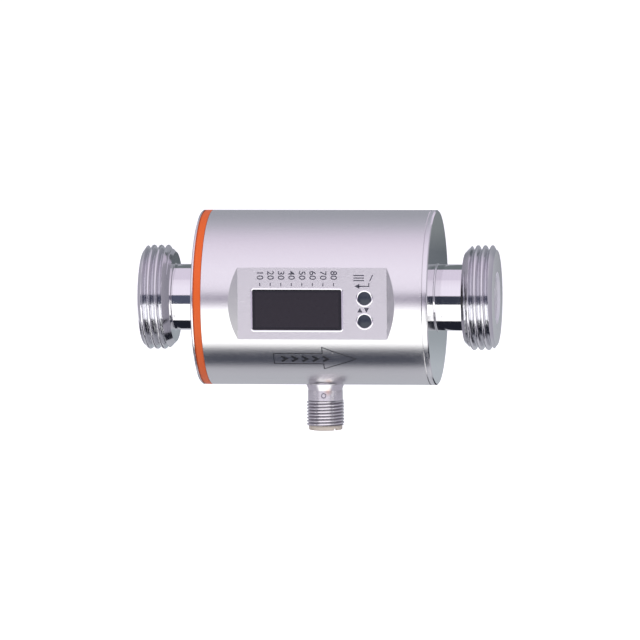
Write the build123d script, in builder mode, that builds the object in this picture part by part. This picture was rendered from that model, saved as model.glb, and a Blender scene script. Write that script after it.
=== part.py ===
from build123d import *
import os
from math import cos, radians, sin, sqrt, tan

# In-line electromagnetic flow meter, in millimetres.
# X runs along the pipe from inlet to outlet, the display faces -Y, and the plug connector points down.
# The origin is on the pipe axis, half way between the two sealing faces.

# Whole meter
overall_length = 113.0
housing_diameter = 55.5
body_length = 75.1
bore_diameter = 15.0
slip = 0.03  # gap between pieces that are glued, welded or pushed together
edge_break = 0.3

# Housing shell and end caps
housing_wall = 4.0
inlet_lip = 0.7
outlet_lip = 1.75
seam_break = 0.15
cap_web = 3.0
spigot_length = 6.0
spigot_wall = 2.6
cap_seal_section = 1.5
cap_seal_from_end = 2.2
cap_seal_squeeze = 0.1

# Orange ring
accent_width = 2.45
accent_depth = 2.6
accent_groove_width = 0.4  # between the ring and the inlet cap's lip
accent_groove_depth = 0.6

# Process fittings with an external pipe thread
neck_diameter = 21.0
weld_bead = 0.35
flange_width = 10.0
thread_diameter = 33.249
thread_pitch = 2.309
thread_depth_share = 0.640327
thread_flank_angle = 27.5
thread_turns = 4
first_crest = 1.25
bore_chamfer = 0.8
rim_chamfer = 0.2
back_chamfer = 0.85
fitting_depth = 13.7  # how far the neck reaches into the housing

# Measuring tube
tube_wall = 5.0
socket_depth = 3.0
tube_seal_section = 1.3
tube_seal_inset = 0.8

# Electrodes and temperature probe
electrode_diameter = 2.5
electrode_head_diameter = 4.6
electrode_head_height = 1.2
electrode_tail = 1.3
electrode_recess = 0.05
pocket_depth = 2.2
pocket_clearance = 0.1
probe_offset = 12.0
electrode_seal_section = 0.9

# Magnet system
pole_length = 16.0
pole_shoe_thickness = 1.3
pole_shoe_half_angle = 38.0
core_diameter = 8.0
yoke_thickness = 1.5
yoke_clearance = 1.8
yoke_overhang = 5.0
bobbin_to_shoe = 0.17
bobbin_to_yoke = 1.7
bobbin_flange_diameter = 15.0
bobbin_flange = 0.7
bobbin_wall = 0.6
winding_margin = 0.3

# Display recess in the front of the housing
recess_height = 22.65
recess_length = 47.3
recess_centre = 0.85
recess_slope_run = 2.7

# Window
window_width = 28.3
window_height = 12.8
window_corner = 0.5
window_x = -4.0
window_z = -2.0
window_sink = 0.12
window_thickness = 1.8
opening_rim = 0.12
gasket_width = 1.0
gasket_thickness = 1.3

# Push buttons
button_diameter = 4.3
button_running_gap = 0.05
button_x = 17.45
button_upper_z = 1.67
button_lower_z = -5.55
button_dome = 0.5
button_proud = 0.4
button_flange_diameter = 5.6
button_travel = 0.5
button_stop_gap = 0.2
button_groove_depth = 0.45
button_seal_section = 0.44
button_groove_from_edge = 1.2

# Boards and what is on them
board_thickness = 1.0
display_depth = 5.3  # from the recess floor to the display board
display_board_height = 20.8
main_board_height = 24.0
cradle_gap = 0.4
cradle_plate = 1.2
cradle_leg_width = 5.0
cradle_leg_offset = 14.5
cradle_height = 20.0
cradle_hole_diameter = 8.0
screw_to_button = 0.15
screw_inset = 3.0
screw_diameter = 2.0
screw_head_diameter = 3.2
screw_head_height = 1.1
screw_bite = 1.0
standoff_diameter = 4.0
frame_inset = 1.0
frame_margin = 0.1
header_length = 12.0
header_height = 2.2
header_x = -4.0
header_z = 9.0
digit_margin = 2.15
digit_thickness = 2.2
led_count = 8
led_size = 1.4
led_thickness = 0.7
led_margin = 0.75
switch_size = 3.4
switch_thickness = 0.9
switch_floor = 0.15
plunger_diameter = 1.6
plunger_stop_gap = 0.05
chip_thickness = 0.8
chip_places = ((-12.0, 3.0, 7.0, 7.0), (4.0, -4.0, 5.0, 4.0), (13.0, 4.0, 4.0, 6.0), (-3.0, -6.0, 3.0, 5.0))

# Round plug connector; its reaches are measured down from the housing's lowest point
connector_x = 1.3
connector_seat_depth = 1.0
connector_spigot_diameter = 10.6
connector_spigot_rise = 0.3
collar_diameter = 12.3
collar_edge_depth = 0.3
collar_groove_depth = 0.35
shank_diameter = 11.1
shank_reach = 1.55
thread_start_reach = 4.9
thread_end_reach = 12.9
connector_thread_diameter = 12.0
connector_pitch = 1.0
connector_thread_depth = 0.613
connector_thread_turns = 8
connector_flank_angle = 30.0
insert_reach = 14.45
insert_lip_diameter = 10.7
insert_diameter = 9.8
insert_inset = 0.6
cavity_diameter = 8.6
cavity_depth = 8.0
insert_edge_break = 0.25
key_width = 1.2
key_height = 0.8
lip_notch_count = 4
lip_notch_width = 1.2
lip_notch_depth = 0.6
pin_count = 4
pin_diameter = 1.0
pin_tip_chamfer = 0.2
pin_circle_diameter = 5.0
pin_setback = 1.0
pin_tail_rise = 0.65
flex_thickness = 0.25
flex_width = 6.0
flex_gap = 0.1

# Values that follow from those above
housing_radius = housing_diameter / 2
inner_radius = housing_radius - housing_wall
bore_radius = bore_diameter / 2
neck_radius = neck_diameter / 2
end_face = overall_length / 2
body_face = body_length / 2
shell_start = -body_face + inlet_lip + accent_width
shell_end = body_face - outlet_lip
spigot_radius = inner_radius - slip
accent_inner_radius = housing_radius - accent_depth
fitting_end = body_face - fitting_depth
tube_radius = bore_radius + tube_wall
recess_plane = sqrt(housing_radius**2 - (recess_height / 2) ** 2)
recess_depth = housing_radius - recess_plane
window_front = recess_plane - window_sink
window_back = window_front - window_thickness
gasket_back = window_back - gasket_thickness
opening_width = window_width - 2 * gasket_width
opening_height = window_height - 2 * gasket_width
button_radius = button_diameter / 2
button_top = recess_plane + button_proud
button_shoulder = button_top - button_dome
display_board_front = recess_plane - display_depth
button_flange_reach = abs(button_lower_z) + button_flange_diameter / 2
button_flange_front = sqrt(inner_radius**2 - button_flange_reach**2) - 2 * button_running_gap
switch_front = display_board_front + switch_thickness
button_back = switch_front + button_travel + button_stop_gap
display_board_back = display_board_front - board_thickness
cradle_back = tube_radius + cradle_gap
main_board_back = cradle_back + cradle_plate
main_board_front = main_board_back + board_thickness
screw_spacing_x = 2 * (button_x + screw_to_button) + button_flange_diameter + screw_head_diameter
board_length = screw_spacing_x + 2 * screw_inset
screw_spacing_z = display_board_height - 2 * screw_inset
screw_places = GridLocations(screw_spacing_x, screw_spacing_z, 2, 2).locations
button_places = {"mode": button_upper_z, "set": button_lower_z}
collar_radius = collar_diameter / 2
collar_edge = housing_radius - collar_edge_depth
connector_seat = housing_radius - connector_seat_depth
connector_top = inner_radius - connector_spigot_rise
shank_start = housing_radius + shank_reach
connector_thread_start = housing_radius + thread_start_reach
connector_thread_end = housing_radius + thread_end_reach
insert_end = housing_radius + insert_reach
insert_top = inner_radius + insert_inset
pin_tail = inner_radius - pin_tail_rise
part_folder = "parts"

os.makedirs(part_folder, exist_ok=True)


def front_plane(distance):
    """A plane that faces the viewer, this far in front of the pipe axis; its x is X and its y is Z."""
    return Plane.XZ.offset(distance)


def save(part, name):
    """Label a finished piece and write it under its own name."""
    part.label = name
    export_step(part, f"{part_folder}/{name}.step")


def o_ring(radius, section, along):
    """A round-section seal about X, with its centre circle at this radius and place."""
    with BuildPart() as ring:
        with BuildSketch(Plane.XY):
            with Locations((along, radius)):
                Circle(section / 2)
        revolve(axis=Axis.X)
    return ring.part


# Housing shell: a turned tube with a milled display recess, its openings and the connector seat
with BuildPart() as housing_shell:
    with BuildSketch(Plane.YZ.offset(shell_start)):
        Circle(housing_radius)
        Circle(inner_radius, mode=Mode.SUBTRACT)
    extrude(amount=shell_end - shell_start)
    rims = housing_shell.edges().filter_by(GeomType.CIRCLE).sort_by(SortBy.RADIUS)[-2:]
    chamfer(rims, seam_break)
    outside = housing_radius + edge_break
    slope = recess_slope_run / recess_depth
    half_floor = recess_length / 2
    half_mouth = half_floor + slope * (outside - recess_plane)
    with BuildSketch(Plane.XY):
        with BuildLine():
            Polyline(
                (recess_centre - half_floor, -recess_plane),
                (recess_centre - half_mouth, -outside),
                (recess_centre + half_mouth, -outside),
                (recess_centre + half_floor, -recess_plane),
                close=True,
            )
        make_face()
    extrude(amount=housing_radius, both=True, mode=Mode.SUBTRACT)
    with BuildSketch(front_plane(recess_plane)):
        with Locations((window_x, window_z)):
            RectangleRounded(window_width, window_height, window_corner)
    extrude(amount=-housing_radius / 2, mode=Mode.SUBTRACT)
    with BuildSketch(front_plane(recess_plane)):
        with Locations(*((button_x, z) for z in button_places.values())):
            Circle(button_radius + button_running_gap)
    extrude(amount=-housing_radius / 2, mode=Mode.SUBTRACT)
    recess_floor = housing_shell.faces().filter_by(Axis.Y).sort_by(Axis.Y)[0]
    chamfer(recess_floor.inner_wires().edges(), opening_rim)
    with BuildSketch(Plane.XY.offset(-connector_seat)):
        with Locations((connector_x, 0)):
            Circle(collar_radius + slip)
    extrude(amount=-housing_radius, mode=Mode.SUBTRACT)
    with BuildSketch(Plane.XY.offset(-connector_seat)):
        with Locations((connector_x, 0)):
            Circle(connector_spigot_diameter / 2 + slip)
    extrude(amount=connector_seat / 2, mode=Mode.SUBTRACT)
save(housing_shell.part, "housing_shell")

# End caps: turned, with a web, a thin outer lip, a sealed spigot and a hole for the neck
spigot_root = body_face - outlet_lip
spigot_tip = spigot_root - spigot_length
seal_place = spigot_tip + cap_seal_from_end
seal_floor = inner_radius - cap_seal_section + cap_seal_squeeze
half_groove = cap_seal_section / 2 + slip
with BuildPart() as outlet_end_cap:
    with BuildSketch(Plane.XY):
        with BuildLine():
            Polyline(
                (body_face, neck_radius + slip),
                (body_face, housing_radius - edge_break),
                (body_face - edge_break, housing_radius),
                (spigot_root + seam_break, housing_radius),
                (spigot_root, housing_radius - seam_break),
                (spigot_root, spigot_radius),
                (seal_place + half_groove, spigot_radius),
                (seal_place + half_groove, seal_floor),
                (seal_place - half_groove, seal_floor),
                (seal_place - half_groove, spigot_radius),
                (spigot_tip, spigot_radius),
                (spigot_tip, spigot_radius - spigot_wall),
                (body_face - cap_web, spigot_radius - spigot_wall),
                (body_face - cap_web, neck_radius + slip),
                close=True,
            )
        make_face()
    revolve(axis=Axis.X)
save(outlet_end_cap.part, "outlet_end_cap")

ring_outer = -body_face + inlet_lip
inlet_tip = shell_start + spigot_length
inlet_seal_place = inlet_tip - cap_seal_from_end
with BuildPart() as inlet_end_cap:
    with BuildSketch(Plane.XY):
        with BuildLine():
            Polyline(
                (-body_face, neck_radius + slip),
                (-body_face, housing_radius - edge_break),
                (-body_face + edge_break, housing_radius),
                (ring_outer, housing_radius),
                (ring_outer, accent_inner_radius - slip),
                (shell_start, accent_inner_radius - slip),
                (shell_start, spigot_radius),
                (inlet_seal_place - half_groove, spigot_radius),
                (inlet_seal_place - half_groove, seal_floor),
                (inlet_seal_place + half_groove, seal_floor),
                (inlet_seal_place + half_groove, spigot_radius),
                (inlet_tip, spigot_radius),
                (inlet_tip, spigot_radius - spigot_wall),
                (-body_face + cap_web, spigot_radius - spigot_wall),
                (-body_face + cap_web, neck_radius + slip),
                close=True,
            )
        make_face()
    revolve(axis=Axis.X)
save(inlet_end_cap.part, "inlet_end_cap")

# Seals between the caps' spigots and the shell
cap_seal_radius = (seal_floor + inner_radius) / 2
cap_seal_wire = inner_radius - seal_floor
for name, place in (("inlet_cap_seal", inlet_seal_place), ("outlet_cap_seal", seal_place)):
    save(o_ring(cap_seal_radius, cap_seal_wire, place), name)

# Orange ring, clamped between the inlet cap's lip and the shell, flush with both, with a groove at the lip
with BuildPart() as accent_ring:
    with BuildSketch(Plane.XY):
        with BuildLine():
            Polyline(
                (ring_outer, accent_inner_radius),
                (ring_outer, housing_radius - accent_groove_depth),
                (ring_outer + accent_groove_width, housing_radius - accent_groove_depth),
                (ring_outer + accent_groove_width, housing_radius),
                (shell_start, housing_radius),
                (shell_start, accent_inner_radius),
                close=True,
            )
        make_face()
    revolve(axis=Axis.X)
save(accent_ring.part, "accent_ring")

# Process fittings: a threaded ring on a neck, turned from one bar, with a weld bead at the cap.
# The thread's crests and roots are flat lands, joined by straight flanks.
thread_radius = thread_diameter / 2
thread_depth = thread_depth_share * thread_pitch
thread_root = thread_radius - thread_depth
flank_run = thread_depth * tan(radians(thread_flank_angle))
half_crest = (thread_pitch - 2 * flank_run) / 4
flange_back = end_face - flange_width
with BuildPart() as outlet_fitting:
    with BuildSketch(Plane.XY):
        with BuildLine():
            outline = [
                (fitting_end, bore_radius),
                (fitting_end, neck_radius),
                (body_face, neck_radius),
                (body_face, neck_radius + weld_bead),
                (body_face + weld_bead, neck_radius),
                (flange_back, neck_radius),
                (flange_back, thread_root - back_chamfer),
                (flange_back + back_chamfer, thread_root),
            ]
            for turn in reversed(range(thread_turns)):
                crest = end_face - first_crest - turn * thread_pitch
                outline += [
                    (crest - half_crest - flank_run, thread_root),
                    (crest - half_crest, thread_radius),
                    (crest + half_crest, thread_radius),
                    (crest + half_crest + flank_run, thread_root),
                ]
            outline += [
                (end_face - rim_chamfer, thread_root),
                (end_face, thread_root - rim_chamfer),
                (end_face, bore_radius + bore_chamfer),
                (end_face - bore_chamfer, bore_radius),
            ]
            Polyline(*outline, close=True)
        make_face()
    revolve(axis=Axis.X)
save(outlet_fitting.part, "outlet_fitting")

with BuildPart() as inlet_fitting:
    mirror(outlet_fitting.part, about=Plane.YZ)
save(inlet_fitting.part, "inlet_fitting")

# Measuring tube: plastic liner with a socket and a face seal groove at each end
tube_end = fitting_end + socket_depth
socket_radius = neck_radius + slip
groove_inner = bore_radius + tube_seal_inset
groove_outer = groove_inner + tube_seal_section + 2 * slip
groove_depth = tube_seal_section
electrode_radius = electrode_diameter / 2
pocket_radius = electrode_head_diameter / 2 + pocket_clearance
with BuildPart() as measuring_tube:
    with BuildSketch(Plane.XY):
        with BuildLine():
            Polyline(
                (0, bore_radius),
                (fitting_end, bore_radius),
                (fitting_end, groove_inner),
                (fitting_end - groove_depth, groove_inner),
                (fitting_end - groove_depth, groove_outer),
                (fitting_end, groove_outer),
                (fitting_end, socket_radius),
                (tube_end, socket_radius),
                (tube_end, tube_radius),
                (0, tube_radius),
                close=True,
            )
        make_face()
        mirror(about=Plane.YZ)
    revolve(axis=Axis.X)
    with BuildSketch(Plane.XZ):
        with Locations((0, 0), (probe_offset, 0)):
            Circle(electrode_radius + slip)
    extrude(amount=-tube_radius, mode=Mode.SUBTRACT)
    with BuildSketch(Plane.XZ):
        Circle(electrode_radius + slip)
    extrude(amount=tube_radius, mode=Mode.SUBTRACT)
    with BuildSketch(Plane.XZ.offset(-(tube_radius - pocket_depth))):
        with Locations((0, 0), (probe_offset, 0)):
            Circle(pocket_radius)
    extrude(amount=-pocket_depth, mode=Mode.SUBTRACT)
    with BuildSketch(Plane.XZ.offset(tube_radius - pocket_depth)):
        Circle(pocket_radius)
    extrude(amount=pocket_depth, mode=Mode.SUBTRACT)
save(measuring_tube.part, "measuring_tube")

face_seal_radius = (groove_inner + groove_outer) / 2
face_seal_place = fitting_end - groove_depth / 2
for name, place in (("inlet_tube_seal", -face_seal_place), ("outlet_tube_seal", face_seal_place)):
    save(o_ring(face_seal_radius, tube_seal_section, place), name)

# Electrodes and temperature probe: stepped pins through the tube's wall, each with a seal under its head
seal_shelf = tube_radius - pocket_depth
head_start = seal_shelf + electrode_seal_section
head_end = head_start + electrode_head_height
pin_tip = bore_radius + electrode_recess


def wall_pin(along, front):
    """A pin across the tube's wall and its seal, at the front or at the rear of the pipe."""
    side = -1 if front else 1
    with BuildPart() as pin:
        with BuildSketch(Plane.XY):
            with BuildLine():
                Polyline(
                    (along, side * pin_tip),
                    (along + electrode_radius, side * pin_tip),
                    (along + electrode_radius, side * head_start),
                    (along + electrode_head_diameter / 2, side * head_start),
                    (along + electrode_head_diameter / 2, side * head_end),
                    (along + electrode_radius, side * head_end),
                    (along + electrode_radius, side * (head_end + electrode_tail)),
                    (along, side * (head_end + electrode_tail)),
                    close=True,
                )
            make_face()
        revolve(axis=Axis((along, 0, 0), (0, 1, 0)))
    with BuildPart() as seal:
        with BuildSketch(Plane.XY):
            centre = electrode_radius + slip + electrode_seal_section / 2
            with Locations((along + centre, side * (seal_shelf + electrode_seal_section / 2))):
                Circle(electrode_seal_section / 2)
        revolve(axis=Axis((along, 0, 0), (0, 1, 0)))
    return pin.part, seal.part


wall_pins = (
    ("electrode_front", "electrode_seal_front", 0, True),
    ("electrode_rear", "electrode_seal_rear", 0, False),
    ("temperature_probe", "temperature_probe_seal", probe_offset, False),
)
for pin_name, seal_name, along, front in wall_pins:
    wall_pin_part, wall_seal_part = wall_pin(along, front)
    save(wall_pin_part, pin_name)
    save(wall_seal_part, seal_name)

# Magnet system: a saddle and core above and below the tube, a coil on each core, a strap round the back
shoe_inner = tube_radius + slip
shoe_outer = shoe_inner + pole_shoe_thickness
core_radius = core_diameter / 2
shoe_half_width = shoe_outer * sin(radians(pole_shoe_half_angle))
shoe_edge = shoe_outer * cos(radians(pole_shoe_half_angle))
shoe_height = shoe_outer - shoe_edge + pole_shoe_thickness / 2
yoke_outer_radius = inner_radius - yoke_clearance
yoke_inner_radius = yoke_outer_radius - yoke_thickness
bobbin_bottom = shoe_outer + bobbin_to_shoe
bobbin_top = yoke_inner_radius - bobbin_to_yoke
with BuildPart() as upper_pole_piece:
    with BuildSketch(Plane.XY):
        Circle(core_radius)
    extrude(amount=yoke_inner_radius)
    with BuildSketch(Plane.YZ):
        Circle(yoke_inner_radius - slip)
    extrude(amount=pole_length, both=True, mode=Mode.INTERSECT)
    with BuildSketch(Plane.YZ):
        Circle(shoe_outer)
        with Locations((0, shoe_edge)):
            Rectangle(2 * shoe_half_width, 2 * shoe_height, mode=Mode.INTERSECT)
    extrude(amount=pole_length / 2, both=True)
    with BuildSketch(Plane.YZ):
        Circle(shoe_inner)
    extrude(amount=pole_length, both=True, mode=Mode.SUBTRACT)
save(upper_pole_piece.part, "upper_pole_piece")

with BuildPart() as upper_coil_bobbin:
    with BuildSketch(Plane.XZ):
        with BuildLine():
            Polyline(
                (core_radius + slip, bobbin_bottom),
                (bobbin_flange_diameter / 2, bobbin_bottom),
                (bobbin_flange_diameter / 2, bobbin_bottom + bobbin_flange),
                (core_radius + slip + bobbin_wall, bobbin_bottom + bobbin_flange),
                (core_radius + slip + bobbin_wall, bobbin_top - bobbin_flange),
                (bobbin_flange_diameter / 2, bobbin_top - bobbin_flange),
                (bobbin_flange_diameter / 2, bobbin_top),
                (core_radius + slip, bobbin_top),
                close=True,
            )
        make_face()
    revolve(axis=Axis.Z)
save(upper_coil_bobbin.part, "upper_coil_bobbin")

with BuildPart() as upper_coil_winding:
    with BuildSketch(Plane.XY.offset(bobbin_bottom + bobbin_flange + slip)):
        Circle(bobbin_flange_diameter / 2 - winding_margin)
        Circle(core_radius + bobbin_wall + 2 * slip, mode=Mode.SUBTRACT)
    extrude(amount=bobbin_top - bobbin_bottom - 2 * bobbin_flange - 2 * slip)
save(upper_coil_winding.part, "upper_coil_winding")

for name, upper in (
    ("lower_pole_piece", upper_pole_piece.part),
    ("lower_coil_bobbin", upper_coil_bobbin.part),
    ("lower_coil_winding", upper_coil_winding.part),
):
    with BuildPart() as lower:
        mirror(upper, about=Plane.XY)
    save(lower.part, name)

with BuildPart() as magnetic_yoke:
    with BuildSketch(Plane.YZ):
        Circle(yoke_outer_radius)
        Circle(yoke_inner_radius, mode=Mode.SUBTRACT)
        with Locations((-yoke_overhang - yoke_outer_radius / 2, 0)):
            Rectangle(yoke_outer_radius, 2 * yoke_outer_radius, mode=Mode.SUBTRACT)
    extrude(amount=pole_length / 2, both=True)
save(magnetic_yoke.part, "magnetic_yoke")

# Board cradle: two saddles on the tube and a plate for the main board
with BuildPart() as board_cradle:
    with BuildSketch(Plane.YZ.offset(cradle_leg_offset - cradle_leg_width / 2)):
        with Locations((-main_board_back, 0)):
            Rectangle(tube_radius / 2, cradle_height, align=(Align.MIN, Align.CENTER))
    extrude(amount=cradle_leg_width)
    with BuildSketch(Plane.YZ):
        Circle(tube_radius + slip)
    extrude(amount=board_length, mode=Mode.SUBTRACT)
    mirror(about=Plane.YZ)
    with BuildSketch(front_plane(cradle_back)):
        Rectangle(board_length, cradle_height)
        Circle(cradle_hole_diameter / 2, mode=Mode.SUBTRACT)
        with Locations(*screw_places):
            Circle(screw_diameter / 2 + slip, mode=Mode.SUBTRACT)
    extrude(amount=cradle_plate)
save(board_cradle.part, "board_cradle")

with BuildPart() as main_board:
    with BuildSketch(front_plane(main_board_back)):
        Rectangle(board_length, main_board_height)
        with Locations(*screw_places):
            Circle(screw_diameter / 2 + slip, mode=Mode.SUBTRACT)
    extrude(amount=board_thickness)
save(main_board.part, "main_board")

with BuildPart() as main_board_chips:
    for x, z, chip_length, chip_height in chip_places:
        with BuildSketch(front_plane(main_board_front)):
            with Locations((x, z)):
                Rectangle(chip_length, chip_height)
        extrude(amount=chip_thickness)
save(main_board_chips.part, "main_board_chips")

with BuildPart() as display_board:
    with BuildSketch(front_plane(display_board_back)):
        Rectangle(board_length, display_board_height)
        with Locations(*screw_places):
            Circle(screw_diameter / 2 + slip, mode=Mode.SUBTRACT)
    extrude(amount=board_thickness)
save(display_board.part, "display_board")

with BuildPart() as board_standoffs:
    with BuildSketch(front_plane(main_board_front)):
        with Locations(*screw_places):
            Circle(standoff_diameter / 2)
            Circle(screw_diameter / 2 + slip, mode=Mode.SUBTRACT)
    extrude(amount=display_board_back - main_board_front)
save(board_standoffs.part, "board_standoffs")

with BuildPart() as board_screws:
    with BuildSketch(front_plane(main_board_back - screw_bite)):
        with Locations(*screw_places):
            Circle(screw_diameter / 2)
    extrude(amount=display_board_front - main_board_back + screw_bite)
    with BuildSketch(front_plane(display_board_front)):
        with Locations(*screw_places):
            Circle(screw_head_diameter / 2)
    extrude(amount=screw_head_height)
save(board_screws.part, "board_screws")

with BuildPart() as board_header:
    with BuildSketch(front_plane(main_board_front)):
        with Locations((header_x, header_z)):
            Rectangle(header_length, header_height)
    extrude(amount=display_board_back - main_board_front)
save(board_header.part, "board_header")

# What shows its light through the window: a row of small status lamps over a block of digits
led_pitch = (opening_width - 2 * led_margin - led_size) / (led_count - 1)
led_z = window_z + opening_height / 2 - led_margin - led_size / 2
digit_width = opening_width - 2 * digit_margin
digit_height = opening_height - led_size - 3 * led_margin
digit_z = window_z - opening_height / 2 + led_margin + digit_height / 2
with BuildPart() as digit_display:
    with BuildSketch(front_plane(display_board_front)):
        with Locations((window_x, digit_z)):
            Rectangle(digit_width, digit_height)
    extrude(amount=digit_thickness)
save(digit_display.part, "digit_display")

with BuildPart() as status_leds:
    with BuildSketch(front_plane(display_board_front)):
        with Locations((window_x, led_z)):
            with GridLocations(led_pitch, led_size, led_count, 1):
                Rectangle(led_size, led_size)
    extrude(amount=led_thickness)
save(status_leds.part, "status_leds")

# Display frame: fills the space between the display board and the shell's inside, with pockets
frame_skin = inner_radius - 2 * slip
frame_length = board_length - 2 * frame_inset
frame_height = display_board_height - 2 * frame_margin
flange_hole_radius = button_flange_diameter / 2 + 2 * button_running_gap
with BuildPart() as display_frame:
    with BuildSketch(Plane.YZ.offset(-frame_length / 2)):
        Circle(frame_skin)
        with Locations((-display_board_front, 0)):
            Rectangle(housing_radius, frame_height, align=(Align.MAX, Align.CENTER), mode=Mode.INTERSECT)
    extrude(amount=frame_length)
    with BuildSketch(front_plane(gasket_back)):
        with Locations((window_x, window_z)):
            RectangleRounded(window_width + 2 * slip, window_height + 2 * slip, window_corner)
    extrude(amount=housing_radius - gasket_back, mode=Mode.SUBTRACT)
    with BuildSketch(front_plane(display_board_front)):
        with Locations((window_x, window_z)):
            Rectangle(opening_width, opening_height)
        with Locations(*((button_x, z) for z in button_places.values())):
            Circle(flange_hole_radius)
        with Locations(*screw_places):
            Circle(screw_head_diameter / 2 + 2 * slip)
    extrude(amount=housing_radius, mode=Mode.SUBTRACT)
save(display_frame.part, "display_frame")

with BuildPart() as window_gasket:
    with BuildSketch(front_plane(gasket_back)):
        with Locations((window_x, window_z)):
            RectangleRounded(window_width - 2 * slip, window_height - 2 * slip, window_corner)
            Rectangle(opening_width, opening_height, mode=Mode.SUBTRACT)
    extrude(amount=gasket_thickness)
save(window_gasket.part, "window_gasket")

with BuildPart() as display_window:
    with BuildSketch(front_plane(window_back)):
        with Locations((window_x, window_z)):
            RectangleRounded(window_width - 2 * slip, window_height - 2 * slip, window_corner)
    extrude(amount=window_thickness)
save(display_window.part, "display_window")

# Push buttons: a domed cap with a retaining flange and a seal, over a switch on the display board
dome_sphere = (button_radius**2 + button_dome**2) / (2 * button_dome)
groove_place = button_shoulder - button_groove_from_edge
groove_radius = button_radius - button_groove_depth
half_button_groove = button_seal_section / 2 + slip
plunger_radius = plunger_diameter / 2
plunger_end = display_board_front + switch_floor + plunger_stop_gap + button_travel
for name, z in button_places.items():
    axis = Axis((button_x, 0, z), (0, 1, 0))
    side_plane = Plane.XY.offset(z)
    with BuildPart() as button_cap:
        with BuildSketch(side_plane):
            with BuildLine():
                Polyline(
                    (button_x, -button_back),
                    (button_x + button_flange_diameter / 2, -button_back),
                    (button_x + button_flange_diameter / 2, -button_flange_front),
                    (button_x + button_radius, -button_flange_front),
                    (button_x + button_radius, -groove_place + half_button_groove),
                    (button_x + groove_radius, -groove_place + half_button_groove),
                    (button_x + groove_radius, -groove_place - half_button_groove),
                    (button_x + button_radius, -groove_place - half_button_groove),
                    (button_x + button_radius, -button_shoulder),
                )
                RadiusArc((button_x + button_radius, -button_shoulder), (button_x, -button_top), dome_sphere)
                Line((button_x, -button_top), (button_x, -button_back))
            make_face()
        revolve(axis=axis)
    save(button_cap.part, f"{name}_button_cap")
    with BuildPart() as button_seal:
        with BuildSketch(side_plane):
            with Locations((button_x + button_radius - button_seal_section / 2, -groove_place)):
                Circle(button_seal_section / 2)
        revolve(axis=axis)
    save(button_seal.part, f"{name}_button_seal")
    with BuildPart() as switch_body:
        with BuildSketch(front_plane(display_board_front)):
            with Locations((button_x, z)):
                Rectangle(switch_size, switch_size)
        extrude(amount=switch_thickness)
        with BuildSketch(front_plane(display_board_front + switch_floor)):
            with Locations((button_x, z)):
                Circle(plunger_radius + button_running_gap)
        extrude(amount=switch_thickness, mode=Mode.SUBTRACT)
    save(switch_body.part, f"{name}_switch_body")
    with BuildPart() as switch_plunger:
        with BuildSketch(front_plane(plunger_end)):
            with Locations((button_x, z)):
                Circle(plunger_radius)
        extrude(amount=button_back - plunger_end)
    save(switch_plunger.part, f"{name}_switch_plunger")

# Round plug connector: a turned shell on a seat in the housing, with a flared collar and a threaded nose
shank_radius = shank_diameter / 2
nose_radius = connector_thread_diameter / 2
nose_root = nose_radius - connector_thread_depth
nose_flank = connector_thread_depth * tan(radians(connector_flank_angle))
half_nose_crest = connector_pitch / 16
nose_first = connector_thread_end - connector_pitch / 2
groove_floor = collar_radius - collar_groove_depth
connector_axis = Axis((connector_x, 0, 0), (0, 0, 1))
insert_radius = insert_diameter / 2
with BuildPart() as connector_shell:
    with BuildSketch(Plane.XZ):
        with BuildLine():
            outline = [
                (connector_x + insert_radius + slip, -connector_top),
                (connector_x + connector_spigot_diameter / 2, -connector_top),
                (connector_x + connector_spigot_diameter / 2, -connector_seat),
                (connector_x + groove_floor, -connector_seat),
                (connector_x + groove_floor, -collar_edge),
                (connector_x + collar_radius, -collar_edge),
                (connector_x + shank_radius, -shank_start),
                (connector_x + shank_radius, -connector_thread_start),
            ]
            for turn in reversed(range(connector_thread_turns)):
                crest = nose_first - turn * connector_pitch
                outline += [
                    (connector_x + nose_root, -crest + half_nose_crest + nose_flank),
                    (connector_x + nose_radius, -crest + half_nose_crest),
                    (connector_x + nose_radius, -crest - half_nose_crest),
                    (connector_x + nose_root, -crest - half_nose_crest - nose_flank),
                ]
            outline += [
                (connector_x + nose_root, -connector_thread_end),
                (connector_x + insert_radius + slip, -connector_thread_end),
            ]
            Polyline(*outline, close=True)
        make_face()
    revolve(axis=connector_axis)
save(connector_shell.part, "connector_shell")

# Contact carrier: stands out of the shell, open at the bottom, with a key rib and notches in its lip
cavity_floor = insert_end - cavity_depth
lip_radius = insert_lip_diameter / 2
cavity_radius = cavity_diameter / 2
pin_places = PolarLocations(pin_circle_diameter / 2, pin_count, 180 / pin_count).locations
with BuildPart() as connector_insert:
    with BuildSketch(Plane.XZ):
        with BuildLine():
            Polyline(
                (connector_x, -insert_top),
                (connector_x + insert_radius, -insert_top),
                (connector_x + insert_radius, -connector_thread_end),
                (connector_x + lip_radius, -connector_thread_end),
                (connector_x + lip_radius, -insert_end + insert_edge_break),
                (connector_x + lip_radius - insert_edge_break, -insert_end),
                (connector_x + cavity_radius, -insert_end),
                (connector_x + cavity_radius, -cavity_floor),
                (connector_x, -cavity_floor),
                close=True,
            )
        make_face()
    revolve(axis=connector_axis)
    with BuildSketch(Plane.XY.offset(-cavity_floor)):
        with Locations((connector_x, -(insert_radius + cavity_radius) / 2)):
            Rectangle(key_width, key_height, align=(Align.CENTER, Align.MIN))
    extrude(amount=-(cavity_depth - pin_setback))
    with BuildSketch(Plane.XY.offset(-insert_end)):
        with Locations((connector_x, 0)):
            with PolarLocations(lip_radius, lip_notch_count, 180 / lip_notch_count):
                Rectangle(cavity_diameter, lip_notch_width)
    extrude(amount=lip_notch_depth, mode=Mode.SUBTRACT)
    with BuildSketch(Plane.XY.offset(-insert_end)):
        with Locations((connector_x, 0)):
            with Locations(*pin_places):
                Circle(pin_diameter / 2 + slip)
    extrude(amount=insert_end - insert_top, mode=Mode.SUBTRACT)
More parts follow.
